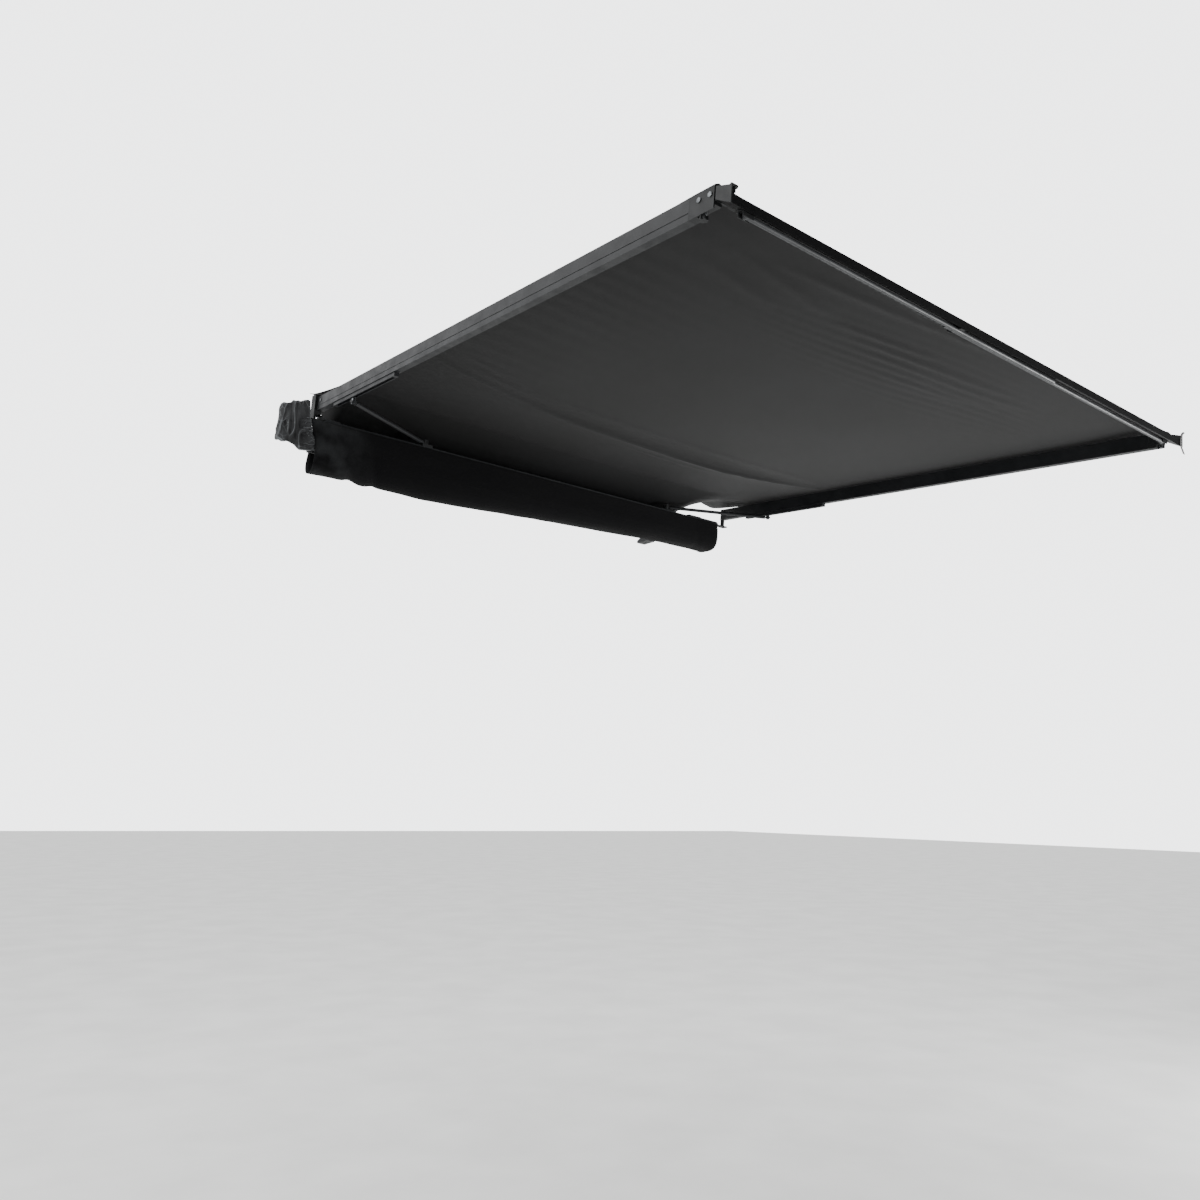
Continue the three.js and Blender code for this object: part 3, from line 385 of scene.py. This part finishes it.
def solid_surface(node):
    """A solid's own surface, to cast rays at."""
    mesh = frame["nodes"][node].data
    return BVHTree.FromPolygons([v.co for v in mesh.vertices], [p.vertices for p in mesh.polygons])


def ridge(distance, near, far):
    """A fold's profile across its line, from 0 to 1, with its own width on each side."""
    return np.where(distance > 0, np.exp(-np.abs(distance) / far), np.exp(-np.abs(distance) / near))


def fold_between(start, end, width, deep):
    """A short hanging fold from one place to another, given along and out, that fades at both ends."""
    way = np.array(end) - np.array(start)
    long = np.hypot(*way)
    run = ((along_grid - start[0]) * way[0] + (out_grid - start[1]) * way[1]) / long ** 2
    aside = ((out_grid - start[1]) * way[0] - (along_grid - start[0]) * way[1]) / long
    fade = np.sin(np.pi * np.clip(run, 0, 1)) ** 0.7
    return -deep * np.exp(-(aside / width) ** 2) * fade


def grid_piece(name, points, thick, material):
    """A cloth of one thickness over a grid of points, smooth shaded."""
    rows, columns = len(points), len(points[0])
    places = [tuple(p) for row in points for p in row]
    faces = [(i * columns + j, i * columns + j + 1, (i + 1) * columns + j + 1, (i + 1) * columns + j)
             for i in range(rows - 1) for j in range(columns - 1)]
    mesh = bpy.data.meshes.new(name)
    mesh.from_pydata(places, [], faces)
    mesh.polygons.foreach_set("use_smooth", [True] * len(mesh.polygons))
    piece = bpy.data.objects.new(name, mesh)
    bpy.context.collection.objects.link(piece)
    mesh.materials.append(material)
    solid = piece.modifiers.new("cloth", "SOLIDIFY")
    solid.thickness = thick
    solid.offset = 0
    solid.use_even_offset = True
    bpy.context.view_layer.objects.active = piece
    bpy.ops.object.modifier_apply(modifier="cloth")
    return piece


canopy_low, canopy_high = deck_box("canopy")
arm_high = deck_box("rear_arm")[1]
far_low = deck_box("front_arm")[0]
canopy_tree = solid_surface("canopy")
canopy_margin = 0.0008
canopy_steps = 200
well_below = -0.5
canopy_along = np.linspace(canopy_low[0] + canopy_margin, canopy_high[0] - canopy_margin, canopy_steps)
canopy_out = np.linspace(canopy_low[1] + canopy_margin, canopy_high[1] - canopy_margin, canopy_steps)
canopy_height = np.zeros((canopy_steps, canopy_steps))
for i, out in enumerate(canopy_out):
    for j, along in enumerate(canopy_along):
        hit = canopy_tree.ray_cast(on_deck(along, out, well_below), deck_up)[0]
        canopy_height[i, j] = (hit - hinge_place).dot(deck_up)
evening_passes = 3
for _ in range(evening_passes):
    inner = canopy_height[1:-1, 1:-1]
    around = (canopy_height[:-2, 1:-1] + canopy_height[2:, 1:-1]
              + canopy_height[1:-1, :-2] + canopy_height[1:-1, 2:]) / 4
    canopy_height[1:-1, 1:-1] = (inner + around) / 2

reach = canopy_high[1] - canopy_low[1]
along_grid, out_grid = np.meshgrid(canopy_along, canopy_out)
share = np.clip((along_grid - arm_high[0]) / (far_low[0] - arm_high[0]), 0, 1)
depth = np.clip((out_grid - canopy_low[1]) / reach, 0, 1)
across_share = np.sin(np.pi * share)
middle = across_share ** 0.5 * np.sin(np.pi * depth) ** 0.5

# The solid's straight crease is evened out, and the cloth's own one bows towards the rail
solid_crease_out = 0.635
solid_crease_wide = 0.04
solid_crease_deep = 0.010
solid_crease = solid_crease_deep * np.exp(-((out_grid - solid_crease_out) / solid_crease_wide) ** 2)
solid_crease = solid_crease * np.sqrt(across_share)
crease_out = 0.56
crease_bow = 0.16
crease_middle = 1.15
crease_wander = 0.006
wander_turns = 7.7
bow = crease_out + crease_bow * ((along_grid - crease_middle) / crease_middle) ** 2
crease = out_grid - (bow + crease_wander * np.sin(along_grid * wander_turns))
crease_deep = 0.011
crease_fade = 0.35
folds = solid_crease - crease_deep * ridge(crease, near=0.10, far=0.028) * across_share ** crease_fade
# Small folds beside the crease: distance from it, width, middle and spread as shares of the cloth, depth
for aside, width, centre_share, spread, deep in (
    (0.05, 0.012, 0.12, 0.10, 0.0025),
    (0.10, 0.014, 0.09, 0.08, 0.0020),
    (-0.07, 0.010, 0.60, 0.12, 0.0018),
    (-0.006, 0.007, 0.70, 0.18, 0.0055),
    (-0.006, 0.007, 0.08, 0.07, 0.0035),
):
    fold = deep * np.exp(-((crease - aside) / width) ** 2)
    folds -= fold * np.exp(-((share - centre_share) / spread) ** 2)
# Wrinkles drawn tight towards the lead rail, nearly along it: start, end, width and depth of each
for start, end, width, deep in (
    ((0.28, 1.82), (0.84, 1.87), 0.012, 0.0034),
    ((0.46, 1.845), (1.10, 1.897), 0.008, 0.0022),
    ((0.64, 1.93), (0.84, 1.865), 0.010, 0.0045),
    ((0.76, 1.875), (1.30, 1.925), 0.008, 0.0034),
    ((0.62, 1.725), (1.00, 1.77), 0.008, 0.0024),
    ((0.74, 1.70), (1.38, 1.765), 0.009, 0.0030),
    ((0.80, 1.66), (1.52, 1.74), 0.008, 0.0032),
    ((0.90, 1.63), (1.45, 1.695), 0.007, 0.0024),
    ((0.97, 1.60), (1.36, 1.65), 0.007, 0.0024),
    ((0.13, 1.73), (0.46, 1.67), 0.020, 0.0022),
    ((0.16, 1.81), (0.58, 1.74), 0.016, 0.0022),
):
    folds += fold_between(start, end, width, deep)
# Puckers 66 mm apart where the cloth is pulled to the rear arm, and ripples 37 mm apart by the lead rail
pucker_high = 0.0016
pucker_turns = 95.0
pucker_reach = 0.06
puckers = pucker_high * np.sin(out_grid * pucker_turns + 2.0 * np.sin(out_grid * 9.0))
puckers = puckers * np.exp(-share / pucker_reach)
ripple_high = 0.0007
ripple_turns = 170.0
ripple_slant = 0.11
ripple_share = 0.55
ripple_depth = 0.86
slant = out_grid - ripple_slant * along_grid
ripples = ripple_high * np.sin(slant * ripple_turns + 2.0 * np.sin(along_grid * 5.0 + slant * 11.0))
ripples *= np.exp(-((share - ripple_share) / 0.24) ** 2) * np.exp(-((depth - ripple_depth) / 0.07) ** 2)
lift = (folds + puckers + ripples) * np.minimum(middle * 2, 1)
canopy_height += lift
arm_end_overlap = 0.02
on_arm = (along_grid < arm_high[0]) | (along_grid > far_low[0])
on_arm = on_arm & (out_grid < arm_high[1] + arm_end_overlap)
rest = arm_high[2] + canopy_thick
canopy_height = np.where(on_arm, np.maximum(canopy_height, rest), canopy_height)
canopy_points = [[on_deck(canopy_along[j], canopy_out[i], canopy_height[i, j] + canopy_thick / 2)
                  for j in range(canopy_steps)] for i in range(canopy_steps)]
canopy = grid_piece("canopy_cloth", canopy_points, canopy_thick, canopy_cloth)
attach(canopy, "rear_arm")
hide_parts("canopy")
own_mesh(canopy)


# Cover bag: a trough of heavy coated cloth hung under the mount rail's shelf, nearly without sheen, with a
# slack wave along its lower edge and its rear end painted paler in blotches, as painted light
bag_thread = 260.0
bag_low, bag_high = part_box("cover_bag")
bag_tree = solid_surface("cover_bag")
bag_thick = 0.0024
bag_stations = 150
bag_turns = 44
bag_axis = (-0.085, -0.012)
bag_skew = 0.056
bag_rear_inset = 0.003
bag_front_inset = 0.006
bag_stand_off = 0.0016
bag_fullness = 0.001
first_turn = math.radians(33)
last_turn = math.radians(-161)
painted_light_from = -0.74
painted_light_fully = -0.9
painted_light_blotches = 14.0
askew_steps = 12
askew_step = 0.01
broad_slack = 0.005
fine_slack = 0.0022


def painted_light_at_rear_end(material, place):
    """How much painted light a point gets near the bag's rear end, in blotches."""
    along = add(material, "ShaderNodeSeparateXYZ", {"Vector": place}).outputs["X"]
    near = add(material, "ShaderNodeMapRange", {"Value": along, "From Min": painted_light_from,
                                               "From Max": painted_light_fully})
    blotches = speckle(material, place, painted_light_blotches)
    return add(material, "ShaderNodeMath", {0: near.outputs["Result"], 1: blotches},
               operation="MULTIPLY").outputs["Value"]


# The bag's rear end is painted paler in blotches, as light falling on it there
bag_cloth = woven("heavy_bag_cloth", "#040405", "#070708", roughness=0.95, thread=bag_thread,
                  sheen=0.01, stitch_and_light_tone="#1f2021", stitch_and_light_where=painted_light_at_rear_end)


def bag_hit(along, way):
    """Where the solid trough's wall lies, looked up a little further on where its rear end is cut askew."""
    for step in range(askew_steps):
        hit = bag_tree.ray_cast(Vector((along + step * askew_step, *bag_axis)), way)[0]
        if hit:
            return Vector((along, hit.y, hit.z))


def tuck(place, centre, width):
    return math.exp(-((place - centre) / width) ** 2)


# Tucks that slant round the bag near its ends, with a bulge between the rear ones: depth, less than
# nothing for the bulge, distance from the end, how much further on it lies at the other lip, and width
rear_tucks = (
    (0.012, 0.10, 0.13, 0.018),
    (-0.007, 0.15, 0.13, 0.026),
    (0.007, 0.21, 0.10, 0.014),
)
front_tucks = (
    (0.004, 0.14, -0.07, 0.014),
)
bag_points = []
for i in range(bag_stations):
    ring = []
    for j in range(bag_turns):
        column = j / (bag_turns - 1)
        progress = i / (bag_stations - 1)
        rear = bag_low.x + bag_rear_inset + bag_skew * column
        along = rear + (bag_high.x - bag_front_inset - rear) * progress
        angle = first_turn + (last_turn - first_turn) * column
        way = Vector((0, -math.cos(angle), math.sin(angle)))
        around = math.sin(math.pi * column)
        slack = broad_slack * noise.noise(Vector((along * 3.0, column * 3.0, 0.3)))
        slack += fine_slack * noise.noise(Vector((along * 11.0, column * 5.0, 4.1)))
        for deep, start, lean, width in rear_tucks:
            slack -= deep * tuck(along - bag_low.x, start + lean * column, width) * around
        for deep, start, lean, width in front_tucks:
            slack -= deep * tuck(bag_high.x - along, start + lean * column, width) * around
        ring.append(bag_hit(along, way) + way * (bag_stand_off + around * (slack + bag_fullness)))
    bag_points.append(ring)
bag = grid_piece("cover_bag_cloth", bag_points, bag_thick, bag_cloth)
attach(bag, "mount")
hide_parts("cover_bag")


# Bag's front end: a slightly bulging panel of the same cloth, sewn in with piping of woven webbing,
# which looks greyer than the cloth and has a soft sheen
panel_bulge = 0.002
bulge_height = 0.6
piping_radius = 0.0032
piping_roundness = 2
piping_start = 3
webbing_thread = 500.0
webbing = woven("woven_webbing", "#1b1b1c", "#2a2a2c", roughness=0.8, thread=webbing_thread, sheen=0.3)
end_ring = bag_points[-1]
ring_middle = sum(end_ring, Vector()) / len(end_ring)
end_mesh = bmesh.new()
end_edge = [end_mesh.verts.new(p) for p in end_ring]
bulge = end_mesh.verts.new((bag_high.x + panel_bulge, ring_middle.y, ring_middle.z * bulge_height))
for a, b in zip(end_edge, end_edge[1:]):
    end_mesh.faces.new((a, b, bulge))
end_mesh.faces.new((end_edge[-1], end_edge[0], bulge))
end_data = bpy.data.meshes.new("bag_end_panel")
end_mesh.to_mesh(end_data)
end_data.materials.append(bag_cloth)
end_panel = bpy.data.objects.new("bag_end_panel", end_data)
bpy.context.collection.objects.link(end_panel)
panel_solid = end_panel.modifiers.new("cloth", "SOLIDIFY")
panel_solid.thickness = bag_thick
panel_solid.offset = 0
bpy.context.view_layer.objects.active = end_panel
bpy.ops.object.modifier_apply(modifier="cloth")
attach(end_panel, "mount")

piping_curve = bpy.data.curves.new("bag_end_piping", "CURVE")
piping_curve.dimensions = "3D"
piping_curve.bevel_depth = piping_radius
piping_curve.bevel_resolution = piping_roundness
piping_curve.use_fill_caps = True
piping_curve.materials.append(webbing)
piping_line = piping_curve.splines.new("POLY")
piping_line.points.add(len(end_ring[piping_start:]) - 1)
for point, place in zip(piping_line.points, end_ring[piping_start:]):
    point.co = (*place, 1)
piping = bpy.data.objects.new("bag_end_piping", piping_curve)
bpy.context.collection.objects.link(piping)
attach(piping, "mount")


# End flap: the bag's rear end, folded up beside the rear hinge and sewn to the bag's rear lip. Its cloth
# is stiff and crumpled, painted paler than the bag as if lit, with painted highlights along the fold ridges
flap_low, flap_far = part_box("bag_end_flap")
flap_tall = flap_far[2] - flap_low[2]
flap_seam = (flap_far[0] - 0.035, flap_far[0] - 0.004)
flap_drop = 0.022
weld_within = 0.0001
broad_crumple = 0.014
broad_lumps = 26.0
sharp_crumple = 0.004
sharp_lumps = 48.0
sharp_shift = Vector((3.0, 1.0, 7.0))
ridge_highlight_from = 0.492
ridge_highlight_fully = 0.54
upright_folds = 0.45
seam_fade = 0.02
seam_gap = 0.003


def painted_ridge_highlight(material, place):
    """How far a point of finely divided cloth stands out on a fold, which sets its painted highlight."""
    fold = add(material, "ShaderNodeNewGeometry").outputs["Pointiness"]
    return add(material, "ShaderNodeMapRange", {"Value": fold, "From Min": ridge_highlight_from,
                                               "From Max": ridge_highlight_fully}).outputs["Result"]


# The bag's cloth painted lighter, as light on the flap, with a pale painted highlight on the fold ridges
flap_cloth_painted_lit = woven("bag_cloth_painted_lit", "#0b0b0c", "#151516", roughness=0.7, thread=bag_thread,
                   sheen=0.1, stitch_and_light_tone="#5c5e60", stitch_and_light_where=painted_ridge_highlight)
flap_data = frame["nodes"]["bag_end_flap"].data.copy()
flap = bpy.data.objects.new("bag_end_flap_cloth", flap_data)
bpy.context.collection.objects.link(flap)
flap_data.materials.clear()
flap_data.materials.append(flap_cloth_painted_lit)
weld = flap.modifiers.new("weld", "WELD")
weld.merge_threshold = weld_within
for name, kind, levels in (("round", "CATMULL_CLARK", 1), ("fine", "SIMPLE", 4)):
    finer = flap.modifiers.new(name, "SUBSURF")
    finer.subdivision_type = kind
    finer.levels = finer.render_levels = levels
bpy.context.view_layer.objects.active = flap
for modifier in ("weld", "round", "fine"):
    bpy.ops.object.modifier_apply(modifier=modifier)
seam_top = max(place.z for place in bag_points[0])
bag_surface = BVHTree.FromObject(bag, bpy.context.evaluated_depsgraph_get())
normals = [vertex.normal.copy() for vertex in flap.data.vertices]
for vertex, normal in zip(flap.data.vertices, normals):
    place = Vector((vertex.co.x, vertex.co.y, vertex.co.z * upright_folds))
    broad = noise.noise(place * broad_lumps)
    sharp = 1 - 2 * abs(noise.noise(place * sharp_lumps + sharp_shift))
    vertex.co += normal * (broad_crumple * broad + sharp_crumple * sharp)
    inward = (vertex.co.x - flap_low[0]) / (flap_far[0] - flap_low[0])
    drop = flap_drop * max(0, (flap_far[2] - vertex.co.z) / flap_tall) ** 2
    vertex.co.z -= drop * (0.3 + 0.7 * inward)
    sewn = max(0, min(1, (vertex.co.x - flap_seam[0]) / (flap_seam[1] - flap_seam[0])))
    near, away = bag_surface.find_nearest(vertex.co)[:2]
    sewn *= math.exp(-(max(0, vertex.co.z - seam_top) / seam_fade) ** 2)
    vertex.co = vertex.co.lerp(near + away * seam_gap, sewn ** 2 * (3 - 2 * sewn))
flap.data.polygons.foreach_set("use_smooth", [True] * len(flap.data.polygons))
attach(flap, "mount")
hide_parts("bag_end_flap")


# Corner strap: the same woven webbing on the lead rail's front end, with a loop above and a free tail
# below
strap_data = frame["nodes"]["corner_strap"].data.copy()
strap = bpy.data.objects.new("corner_strap_webbing", strap_data)
bpy.context.collection.objects.link(strap)
strap_data.materials.clear()
strap_data.materials.append(webbing)
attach(strap, "lead_rail")
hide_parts("corner_strap")
